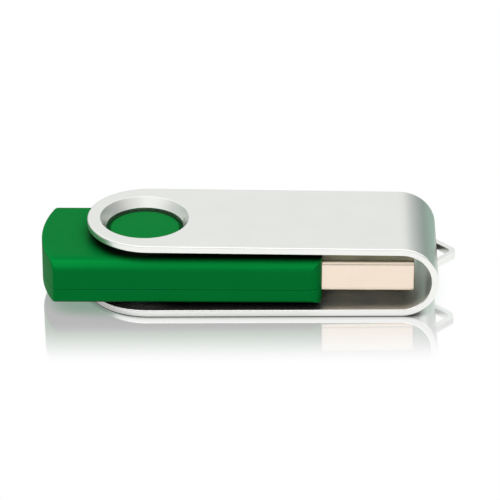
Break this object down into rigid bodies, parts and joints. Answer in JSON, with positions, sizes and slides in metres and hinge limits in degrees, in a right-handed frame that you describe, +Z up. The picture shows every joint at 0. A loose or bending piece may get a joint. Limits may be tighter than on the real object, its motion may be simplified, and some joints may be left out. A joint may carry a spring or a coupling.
{
  "type": "usb flash drive",
  "caption": "USB flash drive with a moulded case and a U-bent metal clip that swivels to cover or expose the plug.",
  "frame": {"origin": "centre of the bounding box of the whole drive with the clip closed over the plug; the clip's pivot is on the X axis at X = -13.9875 mm", "axes": "+X along the drive towards the plug's tip and the clip's closed end, +Y across it, +Z up out of the upper shell, parallel to the pivot"},
  "size_m": [0.0558, 0.0168, 0.0108],
  "materials": {
    "clip_steel": "satin, fine bead-blasted sheet with bright rounded edges",
    "case_plastic": "satin rubber-touch paint over moulded plastic, mid green",
    "plug_nickel": "nickel-plated steel, semi-bright",
    "insulator_plastic": "off-white moulded plastic",
    "contact_gold": "gold flash over nickel",
    "board_laminate": "green solder mask over glass-epoxy laminate",
    "chip_epoxy": "black moulding compound",
    "tinned_leads": "matte tin plating",
    "solder": "bright solder",
    "ceramic": "fired ceramic",
    "crystal_metal": "nickel-plated lid",
    "led_resin": "clear resin over a pale base",
    "resistor_ceramic": "black glaze over ceramic",
    "capacitor_ceramic": "unglazed tan ceramic"
  },
  "bodies": {
    "case": {"upper_shell": "case_plastic", "lower_shell": "case_plastic", "plug_shell": "plug_nickel", "plug_insulator": "insulator_plastic", "plug_solder": "solder", "circuit_board": "board_laminate", "memory_chip": "chip_epoxy", "memory_chip_leads": "tinned_leads", "controller_chip": "chip_epoxy", "controller_leads": "tinned_leads", "crystal_base": "ceramic", "crystal_lid": "crystal_metal", "status_led": "led_resin", "chip_resistors": "resistor_ceramic", "chip_capacitors": "capacitor_ceramic", "chip_end_caps": "tinned_leads", "contact_vbus": "contact_gold", "contact_data_minus": "contact_gold", "contact_data_plus": "contact_gold", "contact_ground": "contact_gold"},
    "clip": {"swivel_clip": "clip_steel"}
  },
  "joints": [
    {"name": "clip_swivel", "type": "hinge", "parent": "case", "child": "clip", "pos_m": [-0.01399, 0, 0], "axis": [0, 0, 1], "continuous": true}
  ]
}
